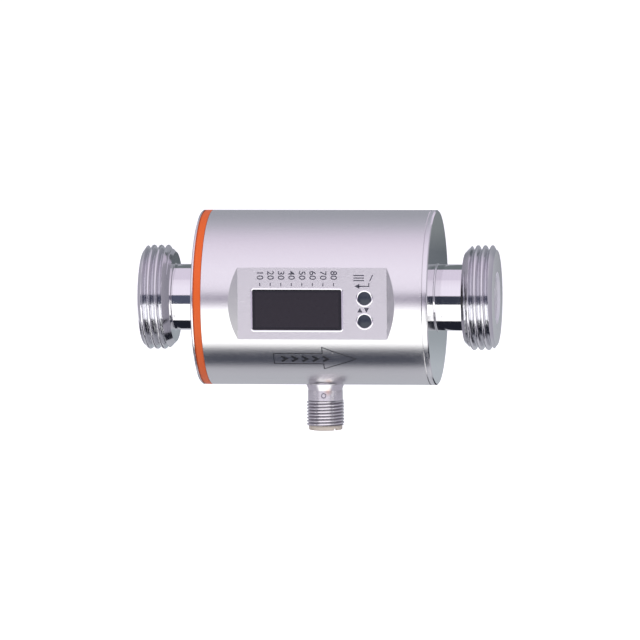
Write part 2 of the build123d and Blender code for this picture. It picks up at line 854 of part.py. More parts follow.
save(connector_insert.part, "connector_insert")

with BuildPart() as connector_pins:
    with BuildSketch(Plane.XY.offset(-pin_tail)):
        with Locations((connector_x, 0)):
            with Locations(*pin_places):
                Circle(pin_diameter / 2)
    extrude(amount=-(insert_end - pin_setback - pin_tail))
    tips = connector_pins.faces().sort_by(Axis.Z)[:pin_count]
    chamfer(tips.edges(), pin_tip_chamfer)
save(connector_pins.part, "connector_pins")

# Flexible lead strip: along the shell's inside from the pins' tails to the main board's lower edge
flex_outer = pin_tail - flex_gap
flex_inner = flex_outer - flex_thickness
board_edge = main_board_height / 2
flex_far_y = -(main_board_front + flex_gap)
flex_far_z = -sqrt(flex_outer**2 - flex_far_y**2)
flex_near_y = pin_circle_diameter / 2
with BuildPart() as connector_flex:
    with BuildSketch(Plane.YZ.offset(connector_x - flex_width / 2)):
        Circle(flex_outer)
        Circle(flex_inner, mode=Mode.SUBTRACT)
        with BuildLine():
            Polyline(
                (flex_near_y, 0),
                (flex_near_y, -inner_radius),
                (flex_far_y, -inner_radius),
                (flex_far_y, flex_far_z),
                (flex_far_y, 0),
                close=True,
            )
        make_face(mode=Mode.INTERSECT)
        with Locations((flex_far_y, -board_edge + board_thickness)):
            Rectangle(
                flex_thickness,
                -board_edge + board_thickness - flex_far_z,
                align=(Align.MAX, Align.MAX),
            )
    extrude(amount=flex_width)
save(connector_flex.part, "connector_flex")
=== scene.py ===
import math

import bmesh
import bpy
import numpy as np
from mathutils import Matrix, Vector


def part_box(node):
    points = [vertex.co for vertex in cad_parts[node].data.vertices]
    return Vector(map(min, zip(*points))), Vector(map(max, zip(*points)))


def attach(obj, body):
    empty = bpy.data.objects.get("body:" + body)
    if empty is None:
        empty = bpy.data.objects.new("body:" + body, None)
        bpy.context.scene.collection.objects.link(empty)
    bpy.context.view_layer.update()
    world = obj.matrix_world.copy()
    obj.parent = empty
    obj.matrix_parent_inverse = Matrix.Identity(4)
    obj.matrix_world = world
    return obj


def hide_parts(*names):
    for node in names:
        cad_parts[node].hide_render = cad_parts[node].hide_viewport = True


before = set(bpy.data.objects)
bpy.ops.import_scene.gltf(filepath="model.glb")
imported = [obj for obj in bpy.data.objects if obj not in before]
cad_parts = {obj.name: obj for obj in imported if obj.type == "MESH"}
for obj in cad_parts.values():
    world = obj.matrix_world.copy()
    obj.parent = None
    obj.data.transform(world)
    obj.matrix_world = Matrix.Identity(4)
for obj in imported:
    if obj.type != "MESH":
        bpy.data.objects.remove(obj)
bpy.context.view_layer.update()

MM = 0.001
FULL_TURN = 2 * math.pi


def reach(node, axis):
    """How far a solid of the meter reaches along X, Y or Z, lowest and highest, in millimetres."""
    low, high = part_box(node)
    return low["XYZ".index(axis)] / MM, high["XYZ".index(axis)] / MM


def middle(node, axis):
    """The middle of a solid of the meter along X, Y or Z, in millimetres."""
    return sum(reach(node, axis)) / 2


# The meter's own sizes, in millimetres, as its solids have them
HOUSING_RADIUS = reach("housing_shell", "Z")[1]
BODY_FACE = reach("outlet_end_cap", "X")[1]
PIPE_END = reach("outlet_fitting", "X")[1]
NECK_REACH = PIPE_END - reach("outlet_fitting", "X")[0]
BODY_FACE_REACH = PIPE_END - BODY_FACE
WINDOW_INSET = 0.12
RECESS_FLOOR = WINDOW_INSET - reach("display_window", "Y")[0]
BORE_RADIUS = 7.5
BORE_CHAMFER = 0.8
NECK_RADIUS = 10.5
WELD_BEAD = 0.35
FLANGE_WIDTH = 10.0
FLANGE_BACK_RADIUS = 14.3
NECK_FILLET = 0.3

# External pipe thread, right-handed. A crest's place along X is taken on top of its ring.
PIPE_PITCH = 2.309
PIPE_DEPTH = 0.640327 * PIPE_PITCH
PIPE_FLANK = math.radians(27.5)
PIPE_RADIUS = 16.6245
PIPE_CREST_ROUNDING = 0.48
# How far below the crest the painted shade of the thread's roots starts, in the pipe thread's material
PIPE_POLISH = 0.2
INLET_CREST = -48.88
OUTLET_CREST = 55.08
RIM_RADIUS = 14.95
RIM_SLOPE = 1.35
BACK_SLOPE = 1.0

# Plug connector, with a right-handed thread. A crest's height is taken on the outlet's side.
PLUG_X = middle("connector_shell", "X")
PLUG_END, PLUG_TOP = reach("connector_shell", "Z")
PLUG_SEAT = 1.0 - HOUSING_RADIUS
PLUG_SPIGOT_RADIUS = 5.3
PLUG_GROOVE_RADIUS = 5.8
PLUG_COLLAR_RADIUS = 6.15
PLUG_COLLAR_EDGE = 0.3 - HOUSING_RADIUS
PLUG_LINE_DEPTH = 0.14
PLUG_LINE_WIDTH = 0.28
PLUG_SHANK_RADIUS = 5.55
PLUG_SHANK_START = -1.55 - HOUSING_RADIUS
PLUG_THREAD_START = -4.95 - HOUSING_RADIUS
PLUG_PITCH = 1.0
PLUG_DEPTH = 0.613
PLUG_FLANK = math.radians(30)
PLUG_RADIUS = 6.0
PLUG_CREST_ROUNDING = 0.19
# How far below the crest the painted shade of the thread's roots starts, in the plug thread's material
PLUG_POLISH = 0.15
PLUG_CREST = -39.94
PLUG_CHAMFER_RADIUS = 5.8
PLUG_BORE_RADIUS = 4.93

# How finely the turned pieces are drawn: steps round them, and millimetres from row to row of a thread
PIPE_STEPS = 192
PLUG_STEPS = 128
BEAD_STEPS = 6
FILLET_STEPS = 8
PIPE_ROW = 0.07
PLUG_ROW = 0.04
SHARP_EDGE = math.radians(32)

# A mix node's sockets for its two colours, and for the colour it gives
FIRST, SECOND = 6, 7
MIXED = 2


def linear(hex_colour):
    """An sRGB hex colour as linear red, green, blue and alpha."""
    channels = [int(hex_colour[i : i + 2], 16) / 255 for i in (1, 3, 5)]
    return [c / 12.92 if c <= 0.04045 else ((c + 0.055) / 1.055) ** 2.4 for c in channels] + [1.0]


def add(tree, kind, inputs=None, **settings):
    """Add a node with its settings. Each input takes a value or another node's output."""
    node = tree.nodes.new(kind)
    for name, value in settings.items():
        setattr(node, name, value)
    for socket, value in (inputs or {}).items():
        if isinstance(value, bpy.types.NodeSocket):
            tree.links.new(value, node.inputs[socket])
        else:
            node.inputs[socket].default_value = value
    return node


def shaded(name, **values):
    """A new material whose shader has these values, and its node tree and shader."""
    material = bpy.data.materials.new(name)
    material.use_nodes = True
    tree = material.node_tree
    shader = tree.nodes["Principled BSDF"]
    for socket, value in values.items():
        shader.inputs[socket.replace("_", " ")].default_value = value
    return material, tree, shader


def finish_surface(tree, shader, colour, gloss, bump):
    """Let these three nodes give a surface its colour, roughness and relief."""
    tree.links.new(colour.outputs[MIXED], shader.inputs["Base Color"])
    tree.links.new(gloss.outputs["Result"], shader.inputs["Roughness"])
    tree.links.new(bump.outputs["Normal"], shader.inputs["Normal"])


def speckle(tree, shader, place, size, colours, roughness, relief):
    """Spots this wide, uneven in colour, roughness and relief. Sizes are in millimetres."""
    noise = add(tree, "ShaderNodeTexNoise", {"Vector": place, "Scale": 1 / (size * MM), "Detail": 3.0})
    spots = noise.outputs["Fac"]
    dark, light = [linear(colour) for colour in colours]
    colour = add(tree, "ShaderNodeMix", {"Factor": spots, FIRST: dark, SECOND: light}, data_type="RGBA")
    gloss = add(tree, "ShaderNodeMapRange", {"Value": spots, "To Min": roughness[0], "To Max": roughness[1]})
    bump = add(tree, "ShaderNodeBump", {"Height": spots, "Distance": relief * MM})
    finish_surface(tree, shader, colour, gloss, bump)


def solid_place(tree):
    """A point of the piece, in metres."""
    return add(tree, "ShaderNodeTexCoord").outputs["Object"]


def lathe_place(tree, upright=False):
    """A point of a turned piece as its distance along and from the lathe's axis, so that marks run round it.
    The axis is the pipe's, or the plug connector's if it stands upright."""
    parts = add(tree, "ShaderNodeSeparateXYZ", {"Vector": solid_place(tree)})
    order = "ZXY" if upright else "XYZ"
    along, across, side = [parts.outputs[axis] for axis in order]
    if upright:
        across = add(tree, "ShaderNodeMath", {0: across, 1: PLUG_X * MM}, operation="SUBTRACT").outputs[0]
    flat = add(tree, "ShaderNodeCombineXYZ", {"X": across, "Y": side})
    radius = add(tree, "ShaderNodeVectorMath", {0: flat.outputs[0]}, operation="LENGTH")
    return add(tree, "ShaderNodeCombineXYZ", {"X": along, "Y": radius.outputs["Value"]}).outputs[0]


def even_skin(name, size, colours, roughness, relief, **values):
    """A material that looks the same in every direction, with a fine, even skin."""
    material, tree, shader = shaded(name, **values)
    speckle(tree, shader, solid_place(tree), size, colours, roughness, relief)
    return material


def blasted_steel():
    """Stainless steel, turned and then blasted with fine beads: a soft sheen with a fine even grain.
    The grain is about 0.1 mm on the real housing and is drawn 0.45 mm wide, so that it shows."""
    return even_skin(
        "stainless_steel_bead_blasted", 0.45, ("#DAD9DA", "#E6E5E6"), (0.23, 0.29), 0.008, Metallic=1.0
    )


def turned_steel():
    """Stainless steel, fine turned: mirror-like, with faint rings that stretch a reflection across them.
    The tool's feed is about 0.1 mm and is drawn 0.25 mm wide, so that it shows."""
    material, tree, shader = shaded("stainless_steel_fine_turned", Metallic=1.0, Anisotropic=0.4)
    speckle(tree, shader, lathe_place(tree), 0.25, ("#D8D7D9", "#E8E7E9"), (0.05, 0.11), 0.0006)
    tangent = add(tree, "ShaderNodeTangent", direction_type="RADIAL", axis="X")
    tree.links.new(tangent.outputs["Tangent"], shader.inputs["Tangent"])
    return material


def end_cap_steel():
    """Stainless steel, fine turned on the cap's face and blasted round its rim together with the housing:
    a mirror-like face inside a duller rim."""
    material, tree, shader = shaded("stainless_steel_end_cap", Metallic=1.0)
    place = lathe_place(tree)
    speckle(tree, shader, place, 0.25, ("#D8D7D9", "#E8E7E9"), (0.07, 0.16), 0.0006)
    radius = add(tree, "ShaderNodeSeparateXYZ", {"Vector": place}).outputs["Y"]
    rim = {"From Min": (HOUSING_RADIUS - 0.5) * MM, "From Max": (HOUSING_RADIUS - 0.2) * MM}
    gloss = add(tree, "ShaderNodeMapRange", {"Value": radius, "To Min": 0.1, "To Max": 0.22, **rim})
    tree.links.new(gloss.outputs["Result"], shader.inputs["Roughness"])
    return material


def bored_steel():
    """Stainless steel, bored and pickled: a dull pale wall without the mirror of the turned faces."""
    return even_skin("stainless_steel_bored", 0.4, ("#E6E6EA", "#F0F0F3"), (0.55, 0.68), 0.004, Metallic=0.8)


def turned_plug_steel():
    """Stainless steel, turned and lightly blasted: duller than the fittings.
    Welding left a brown heat tint by the collar."""
    material, tree, shader = shaded("stainless_steel_turned_plug", Metallic=1.0)
    speckle(tree, shader, lathe_place(tree, upright=True), 0.3, ("#D2CFD2", "#E4E2E5"), (0.2, 0.28), 0.002)
    tint_place = Vector((PLUG_X + 1.6, -5.3, PLUG_SHANK_START - 0.4)) * MM
    tint_radius, tint_strength = 1.6, 0.5
    apart = add(tree, "ShaderNodeVectorMath", {0: solid_place(tree), 1: tint_place}, operation="DISTANCE")
    fading = {"From Min": tint_radius * MM, "From Max": 0.0, "To Max": tint_strength}
    near = add(tree, "ShaderNodeMapRange", {"Value": apart.outputs["Value"], **fading})
    colours = {FIRST: shader.inputs["Base Color"].links[0].from_socket, SECOND: linear("#C98F6A")}
    tint = add(tree, "ShaderNodeMix", {"Factor": near.outputs["Result"], **colours}, data_type="RGBA")
    tree.links.new(tint.outputs[MIXED], shader.inputs["Base Color"])
    return material


def cut_thread_steel(name, upright, root, crest, colours):
    """Stainless steel with a thread cut into it, with painted shade: the colour is bright on the crests
    and darker down to the roots."""
    material, tree, shader = shaded(name, Metallic=1.0)
    place = lathe_place(tree, upright)
    speckle(tree, shader, place, 0.3, colours, (0.1, 0.18), 0.001)
    radius = add(tree, "ShaderNodeSeparateXYZ", {"Vector": place}).outputs["Y"]
    # Painted shade: the colour darkens from the crest down to the root, by the distance from the axis
    height = {"From Min": root * MM, "From Max": crest * MM}
    polish = add(tree, "ShaderNodeMapRange", {"Value": radius, **height})
    mix = shader.inputs["Base Color"].links[0].from_node
    tree.links.new(polish.outputs["Result"], mix.inputs["Factor"])
    return material


def orange_ring():
    """Orange polyester, moulded: an even saturated colour with a low sheen."""
    return even_skin("polyester_moulded_orange", 0.6, ("#C85004", "#D65B08"), (0.42, 0.5), 0.003)


def smoked_window():
    """Smoked acrylic, moulded and polished: nearly black, with a darker edge where it rests on its gasket."""
    material, tree, shader = shaded("acrylic_smoked", IOR=1.49)
    low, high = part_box("display_window")
    centre, half = (low + high) / 2, (high - low) / 2
    place = solid_place(tree)
    parts = add(tree, "ShaderNodeSeparateXYZ", {"Vector": place})
    edges = []
    for axis in (0, 2):
        offset = {0: parts.outputs[axis], 1: centre[axis]}
        from_centre = add(tree, "ShaderNodeMath", offset, operation="SUBTRACT")
        aside = add(tree, "ShaderNodeMath", {0: from_centre.outputs[0]}, operation="ABSOLUTE")
        edges.append(add(tree, "ShaderNodeMath", {0: half[axis], 1: aside.outputs[0]}, operation="SUBTRACT"))
    both = {0: edges[0].outputs[0], 1: edges[1].outputs[0]}
    edge = add(tree, "ShaderNodeMath", both, operation="MINIMUM")
    gasket = {"From Min": 0.6 * MM, "From Max": 1.1 * MM}
    inside = add(tree, "ShaderNodeMapRange", {"Value": edge.outputs[0], **gasket}).outputs["Result"]
    haze = add(tree, "ShaderNodeTexNoise", {"Vector": place, "Scale": 1 / (1.2 * MM), "Detail": 4.0})
    cloud = haze.outputs["Fac"]
    smoke = {"Factor": cloud, FIRST: linear("#1C1A1E"), SECOND: linear("#232126")}
    field = add(tree, "ShaderNodeMix", smoke, data_type="RGBA")
    rimmed = {"Factor": inside, FIRST: linear("#101217"), SECOND: field.outputs[MIXED]}
    tint = add(tree, "ShaderNodeMix", rimmed, data_type="RGBA")
    gloss = add(tree, "ShaderNodeMapRange", {"Value": cloud, "To Min": 0.06, "To Max": 0.12})
    tree.links.new(tint.outputs[MIXED], shader.inputs["Base Color"])
    tree.links.new(gloss.outputs["Result"], shader.inputs["Roughness"])
    return material


def button_rubber():
    """Silicone rubber, moulded: a dark blue-grey skin that is a little shiny."""
    return even_skin("silicone_moulded_slate", 0.25, ("#1A212E", "#28313F"), (0.26, 0.36), 0.004)


def seal_rubber():
    """Nitrile rubber, moulded: black and matt."""
    return even_skin("nitrile_rubber_moulded", 0.4, ("#16171A", "#222327"), (0.5, 0.65), 0.004)


def liner_plastic():
    """Fluoropolymer liner, machined and polished: milky and waxy, with a gloss down the bore."""
    return even_skin(
        "fluoropolymer_polished", 0.5, ("#DAD6CC", "#E6E2D8"), (0.1, 0.18), 0.001, Subsurface_Weight=0.1
    )


def electrode_steel():
    """Corrosion-proof steel, ground: bright and plain."""
    return even_skin("steel_ground_electrode", 0.3, ("#C6C8CA", "#D8DADC"), (0.14, 0.22), 0.001, Metallic=1.0)


def magnet_iron():
    """Soft iron, stamped and phosphated: dark grey with a dull sheen."""
    return even_skin("soft_iron_phosphated", 0.6, ("#55575A", "#6C6E71"), (0.4, 0.52), 0.004, Metallic=0.9)


def bobbin_plastic():
    """Glass-filled nylon, moulded: off-white and matt."""
    return even_skin("nylon_moulded_natural", 0.5, ("#CFC8B4", "#DDD7C5"), (0.45, 0.58), 0.005)


def copper_winding():
    """Enamelled copper wire, wound in layers: ridges that run round the coil.
    The layers lie 0.12 mm apart and are drawn 0.25 mm apart, so that they show."""
    material, tree, shader = shaded("copper_wire_enamelled", Metallic=1.0)
    height = add(tree, "ShaderNodeSeparateXYZ", {"Vector": solid_place(tree)}).outputs["Z"]
    upward = add(tree, "ShaderNodeCombineXYZ", {"Z": height}).outputs[0]
    layers = {"Vector": upward, "Scale": 0.32 / (0.25 * MM)}
    wave = add(tree, "ShaderNodeTexWave", layers, wave_type="BANDS", bands_direction="Z")
    wires = wave.outputs["Fac"]
    colours = {FIRST: linear("#8A4322"), SECOND: linear("#C97542")}
    colour = add(tree, "ShaderNodeMix", {"Factor": wires, **colours}, data_type="RGBA")
    gloss = add(tree, "ShaderNodeMapRange", {"Value": wires, "To Min": 0.42, "To Max": 0.28})
    bump = add(tree, "ShaderNodeBump", {"Height": wires, "Distance": 0.05 * MM})
    finish_surface(tree, shader, colour, gloss, bump)
    return material


def carrier_plastic():
    """Polycarbonate blend, moulded black with a fine spark-eroded skin: matt and even."""
    return even_skin("polycarbonate_moulded_black", 0.5, ("#1A1B1E", "#25262A"), (0.45, 0.6), 0.006)


def circuit_board():
    """Glass-epoxy circuit board: green solder resist over a faint glass weave."""
    return even_skin("glass_epoxy_solder_resist", 0.7, ("#12452C", "#1B5B3A"), (0.28, 0.4), 0.004)


def chip_plastic():
    """Black epoxy, transfer moulded: matt with fine filler grains."""
    return even_skin("epoxy_moulded_black", 0.25, ("#17181A", "#242528"), (0.5, 0.66), 0.004)


def zinc_steel():
    """Steel, zinc plated: bright with a faint blue cast."""
    return even_skin("steel_zinc_plated", 0.5, ("#B8BFC6", "#CDD3D8"), (0.2, 0.32), 0.002, Metallic=1.0)


def digit_plastic():
    """Dark display block, cast: near-black with a soft gloss."""
    return even_skin("epoxy_cast_display", 0.6, ("#202126", "#2B2C32"), (0.2, 0.3), 0.002)


def lamp_plastic():
    """Clear lamp resin, cast over a pale chip: warm white and a little glossy."""
    return even_skin("epoxy_cast_lamp", 0.3, ("#D9D4BE", "#EAE6D4"), (0.18, 0.28), 0.002)


def insert_plastic():
    """Polyurethane contact carrier, moulded: warm grey and satin."""
    return even_skin("polyurethane_moulded_grey", 0.4, ("#B3AB9C", "#C4BCAE"), (0.36, 0.48), 0.005)


def pin_brass():
    """Brass, turned and gold flashed: a warm yellow metal."""
    return even_skin("brass_gold_flashed", 0.3, ("#D2A850", "#E2BC69"), (0.16, 0.26), 0.001, Metallic=1.0)


def flex_film():
    """Polyimide film: amber and smooth."""
    return even_skin("polyimide_film_amber", 0.6, ("#A85E14", "#BE7420"), (0.25, 0.36), 0.002)


def laser_marking(name, colours):
    """Steel darkened by a marking laser: a dark oxide with a dull sheen."""
    return even_skin(name, 0.2, colours, (0.5, 0.65), 0.001, Metallic=0.3)


# The finish of each of the solids' material slots
FINISHES = {
    "satin_steel": blasted_steel,
    "polished_steel": turned_steel,
    "orange_plastic": orange_ring,
    "window_plastic": smoked_window,
    "button_rubber": button_rubber,
    "seal_rubber": seal_rubber,
    "liner_plastic": liner_plastic,
    "electrode_steel": electrode_steel,
    "magnet_iron": magnet_iron,
    "bobbin_plastic": bobbin_plastic,
    "copper_winding": copper_winding,
    "carrier_plastic": carrier_plastic,
    "circuit_board": circuit_board,
    "chip_plastic": chip_plastic,
    "zinc_steel": zinc_steel,
    "digit_plastic": digit_plastic,
    "lamp_plastic": lamp_plastic,
    "insert_plastic": insert_plastic,
    "pin_brass": pin_brass,
    "flex_film": flex_film,
}
materials = {slot: make() for slot, make in FINISHES.items()}
# Thread steels, each with painted shade that darkens the colour from the crests down to the roots
pipe_thread_steel = cut_thread_steel(
    "stainless_steel_pipe_thread",
    upright=False,
    root=PIPE_RADIUS - PIPE_DEPTH,
    crest=PIPE_RADIUS - PIPE_POLISH,
    colours=("#CFCFD3", "#E0DFE2"),
)
plug_thread_steel = cut_thread_steel(
    "stainless_steel_plug_thread",
    upright=True,
    root=PLUG_RADIUS - PLUG_DEPTH,
    crest=PLUG_RADIUS - PLUG_POLISH,
    colours=("#A6A3A8", "#E6E4E7"),
)
bored_wall = bored_steel()
marking_steel = laser_marking("steel_laser_annealed", ("#40404A", "#52525C"))
deep_marking_steel = laser_marking("steel_laser_annealed_deep", ("#17171C", "#222228"))

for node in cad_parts.values():
    for held in node.material_slots:
        held.material = materials[held.material.name]
cap_steel = end_cap_steel()
for end in ("inlet", "outlet"):
    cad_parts[f"{end}_end_cap"].material_slots[0].material = cap_steel


def new_piece(name, mesh, *finishes):
    """An object of the meter that rides on its housing."""
    piece = bpy.data.objects.new(name, mesh)
    bpy.context.scene.collection.objects.link(piece)
    for finish in finishes:
        mesh.materials.append(finish)
    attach(piece, "housing")
    return piece


def closed_mesh(name, points, steps):
    """A closed mesh of rings that have this many points each. The last ring joins the first."""
    rings = len(points) // steps
    faces = []
    for ring in range(rings):
        here, there = ring * steps, (ring + 1) % rings * steps
        for step in range(steps):
            beside = (step + 1) % steps
            faces.append((here + step, here + beside, there + beside, there + step))
    mesh = bpy.data.meshes.new(name)
    mesh.from_pydata(points, [], faces)
    shape = bmesh.new()
    shape.from_mesh(mesh)
    bmesh.ops.recalc_face_normals(shape, faces=shape.faces)
    shape.to_mesh(mesh)
    shape.free()
    return mesh


def turned_mesh(name, rings, place, finish_starts):
    """A closed turned mesh. Each ring is its place along the axis and its radius at each step round it.
    Each finish starts at a ring and takes its number among the piece's materials."""
    steps = len(rings[0][1])
    angles = np.linspace(0, FULL_TURN, steps, endpoint=False)
    points = np.concatenate([place(along, radius, angles) for along, radius in rings]) * MM
    mesh = closed_mesh(name, points.tolist(), steps)
    finish = np.zeros(len(mesh.polygons), dtype=np.int32)
    for start, number in finish_starts:
        finish[start * steps :] = number
    mesh.polygons.foreach_set("material_index", finish)
    mesh.shade_smooth()
    mesh.set_sharp_from_angle(angle=SHARP_EDGE)
    return mesh


def plain_rings(outline, steps):
    """Rings with one radius all round, for points of an outline."""
    return [(along, np.full(steps, radius)) for along, radius in outline]


def thread_drop(offset, pitch, depth, flank, crest_rounding):
    """How far a thread lies below its crest, at this distance along its axis.
    The roots' rounding is what the depth, the flanks and the crests' rounding leave."""
    root_rounding = (pitch / 2 / math.tan(flank) - depth) / (1 / math.sin(flank) - 1) - crest_rounding
    from_crest = np.abs((offset + pitch / 2) % pitch - pitch / 2)
    from_root = pitch / 2 - from_crest
    crest_arc, root_arc = crest_rounding * math.cos(flank), root_rounding * math.cos(flank)
    crest = crest_rounding - np.sqrt(np.maximum(crest_rounding**2 - from_crest**2, 0))
    side = crest_rounding * (1 - math.sin(flank)) + (from_crest - crest_arc) / math.tan(flank)
    root = depth - root_rounding + np.sqrt(np.maximum(root_rounding**2 - from_root**2, 0))
    return np.select([from_crest < crest_arc, from_root > root_arc], [crest, side], root)


def neck_outline():
    """A neck from inside the meter out to its threaded ring, as distances from the pipe's end and radii.
    A ring just before the fillet keeps the neck's shading straight."""
    quarter = math.pi / 2
    bead = [
        (BODY_FACE_REACH - WELD_BEAD * math.sin(turn), NECK_RADIUS + WELD_BEAD * math.cos(turn))
        for turn in np.linspace(0, quarter, BEAD_STEPS)
    ]
    fillet = [
        (FLANGE_WIDTH + NECK_FILLET * (1 - math.sin(turn)), NECK_RADIUS + NECK_FILLET * (1 - math.cos(turn)))
        for turn in np.linspace(0, quarter, FILLET_STEPS)
    ]
    return [
        (NECK_REACH, BORE_RADIUS),
        (NECK_REACH, NECK_RADIUS),
        (BODY_FACE_REACH, NECK_RADIUS),
        *bead,
        (FLANGE_WIDTH + 1.2 * NECK_FILLET, NECK_RADIUS),
        *fillet,
        (FLANGE_WIDTH, FLANGE_BACK_RADIUS),
    ]


def pipe_fitting(name, side, crest):
    """A neck with a weld bead and a threaded ring, and a bore right through it.
    Side is 1 at the outlet and -1 at the inlet. Depths are counted from the pipe's end."""
    angles = np.linspace(0, FULL_TURN, PIPE_STEPS, endpoint=False)
    rings = plain_rings(neck_outline(), PIPE_STEPS)
    thread_start = len(rings)
    rows = int((FLANGE_WIDTH - PIPE_ROW) / PIPE_ROW)
    for depth in np.linspace(FLANGE_WIDTH - PIPE_ROW, PIPE_ROW, rows):
        helix = crest + PIPE_PITCH * (angles / FULL_TURN - 0.25)
        from_crest = side * (PIPE_END - depth) - helix
        drop = thread_drop(from_crest, PIPE_PITCH, PIPE_DEPTH, PIPE_FLANK, PIPE_CREST_ROUNDING)
        rim = RIM_RADIUS + RIM_SLOPE * depth
        back = FLANGE_BACK_RADIUS + BACK_SLOPE * (FLANGE_WIDTH - depth)
        rings.append((depth, np.minimum(PIPE_RADIUS - drop, min(rim, back))))
    face_start = len(rings) - 1
    face = [(0, RIM_RADIUS), (0, BORE_RADIUS + BORE_CHAMFER), (BORE_CHAMFER, BORE_RADIUS)]
    rings += plain_rings(face, PIPE_STEPS)

    def place(depth, radius, turns):
        along = np.full(PIPE_STEPS, side * (PIPE_END - depth))
        return np.stack([along, radius * np.cos(turns), radius * np.sin(turns)], axis=1)

    polished, threaded, bored = range(3)
    finish_starts = (thread_start, threaded), (face_start, polished), (face_start + 2, bored)
    mesh = turned_mesh(f"{name}_threaded_fitting", rings, place, finish_starts)
    piece = new_piece(mesh.name, mesh, materials["polished_steel"], pipe_thread_steel, bored_wall)
    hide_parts(f"{name}_fitting")


def plug_shell():
    """The plug connector's turned shell: a collar at the housing, a plain shank and a threaded nose."""
    angles = np.linspace(0, FULL_TURN, PLUG_STEPS, endpoint=False)
    line_radius = PLUG_SHANK_RADIUS - PLUG_LINE_DEPTH
    line_end = PLUG_SHANK_START - PLUG_LINE_WIDTH
    rings = plain_rings(
        [
            (PLUG_TOP, PLUG_BORE_RADIUS),
            (PLUG_TOP, PLUG_SPIGOT_RADIUS),
            (PLUG_SEAT, PLUG_SPIGOT_RADIUS),
            (PLUG_SEAT, PLUG_GROOVE_RADIUS),
            (PLUG_COLLAR_EDGE, PLUG_GROOVE_RADIUS),
            (PLUG_COLLAR_EDGE, PLUG_COLLAR_RADIUS),
            (PLUG_SHANK_START, line_radius),
            (line_end, line_radius),
            (line_end, PLUG_SHANK_RADIUS),
            (PLUG_THREAD_START + PLUG_ROW, PLUG_SHANK_RADIUS),
        ],
        PLUG_STEPS,
    )
    thread_start = len(rings)
    rows = int((PLUG_THREAD_START - PLUG_END) / PLUG_ROW)
    for along in np.linspace(PLUG_THREAD_START, PLUG_END + PLUG_ROW, rows):
        helix = PLUG_CREST + PLUG_PITCH * angles / FULL_TURN
        drop = thread_drop(along - helix, PLUG_PITCH, PLUG_DEPTH, PLUG_FLANK, PLUG_CREST_ROUNDING)
        chamfer = PLUG_CHAMFER_RADIUS + (along - PLUG_END)
        run_out = PLUG_SHANK_RADIUS + (PLUG_THREAD_START - along)
        rings.append((along, np.minimum(PLUG_RADIUS - drop, min(chamfer, run_out))))
    nose_start = len(rings) - 1
    rings += plain_rings([(PLUG_END, PLUG_CHAMFER_RADIUS), (PLUG_END, PLUG_BORE_RADIUS)], PLUG_STEPS)

    def place(along, radius, turns):
        height = np.full(PLUG_STEPS, along)
        return np.stack([PLUG_X + radius * np.cos(turns), radius * np.sin(turns), height], axis=1)

    plain, threaded = range(2)
    finish_starts = (thread_start, threaded), (nose_start, plain)
    mesh = turned_mesh("plug_threaded_shell", rings, place, finish_starts)
    piece = new_piece(mesh.name, mesh, turned_plug_steel(), plug_thread_steel)
    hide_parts("connector_shell")


pipe_fitting("inlet", -1, INLET_CREST)
pipe_fitting("outlet", 1, OUTLET_CREST)
plug_shell()

# Laser markings, as thin raised films. Their places are in millimetres from the meter's middle.
MARK_LIFT = 0.012
LAMPS = 8
LAMP_PITCH = 3.343
FIRST_LAMP = middle("status_leds", "X") - LAMP_PITCH * (LAMPS - 1) / 2
LAMP_PLACES = [FIRST_LAMP + index * LAMP_PITCH for index in range(LAMPS)]


def on_recess(across, up):
    """A point just proud of the recess floor, in millimetres."""
    return across, -(RECESS_FLOOR + MARK_LIFT), up


def on_housing(across, up):
    """A point just proud of the round housing. Up is measured round the surface from the front."""
    angle, out = up / HOUSING_RADIUS, HOUSING_RADIUS + MARK_LIFT
    return across, -out * math.cos(angle), out * math.sin(angle)


def on_shank(across, up):
    """A point just proud of the plug's shank. Across is measured round the surface from the front."""
    angle, out = across / PLUG_SHANK_RADIUS, PLUG_SHANK_RADIUS + MARK_LIFT
    return PLUG_X + out * math.sin(angle), -out * math.cos(angle), up


def circle(centre, radius, steps):
    """Points of a circle."""
    turns = [FULL_TURN * step / steps for step in range(steps)]
    return [(centre[0] + radius * math.cos(turn), centre[1] + radius * math.sin(turn)) for turn in turns]


def line_quads(points, width, closed=False):
    """The quads of a line of this width through these points, with mitred corners."""
    count = len(points)
    path = [Vector(point) for point in points]
    sides = []
    for index, point in enumerate(path):
        before = path[index - 1] if closed or index > 0 else None
        after = path[(index + 1) % count] if closed or index < count - 1 else None
        into = (point - before).normalized() if before else (after - point).normalized()
        out = (after - point).normalized() if after else into
        normal = Vector((-into.y - out.y, into.x + out.x)).normalized()
        mitre = width / 2 / max(normal.dot(Vector((-into.y, into.x))), 0.3)
        sides.append((point + normal * mitre, point - normal * mitre))
    last = count if closed else count - 1
    return [(*sides[i], *reversed(sides[(i + 1) % count])) for i in range(last)]


def split_quad(quad, longest):
    """A quad cut across its length into pieces no longer than this, so that it follows a round surface."""
    a, b, c, d = quad
    parts = max(1, math.ceil((d - a).length / longest))
    shares = [i / parts for i in range(parts + 1)]
    left = [a.lerp(d, share) for share in shares]
    right = [b.lerp(c, share) for share in shares]
    return [(left[i], right[i], right[i + 1], left[i + 1]) for i in range(parts)]


def marking(name, shapes, place, material):
    """A marking made of flat shapes, laid on a surface and given a thin edge."""
    film = bmesh.new()
    for corners in shapes:
        film.faces.new([film.verts.new(Vector(place(*corner)) * MM) for corner in corners])
    bmesh.ops.remove_doubles(film, verts=film.verts, dist=0.001 * MM)
    bmesh.ops.recalc_face_normals(film, faces=film.faces)
    mesh = bpy.data.meshes.new(name)
    film.to_mesh(mesh)
    film.free()
    edge = new_piece(name, mesh, material).modifiers.new("film", "SOLIDIFY")
    edge.thickness = 2 * MARK_LIFT * MM
    edge.offset = 0


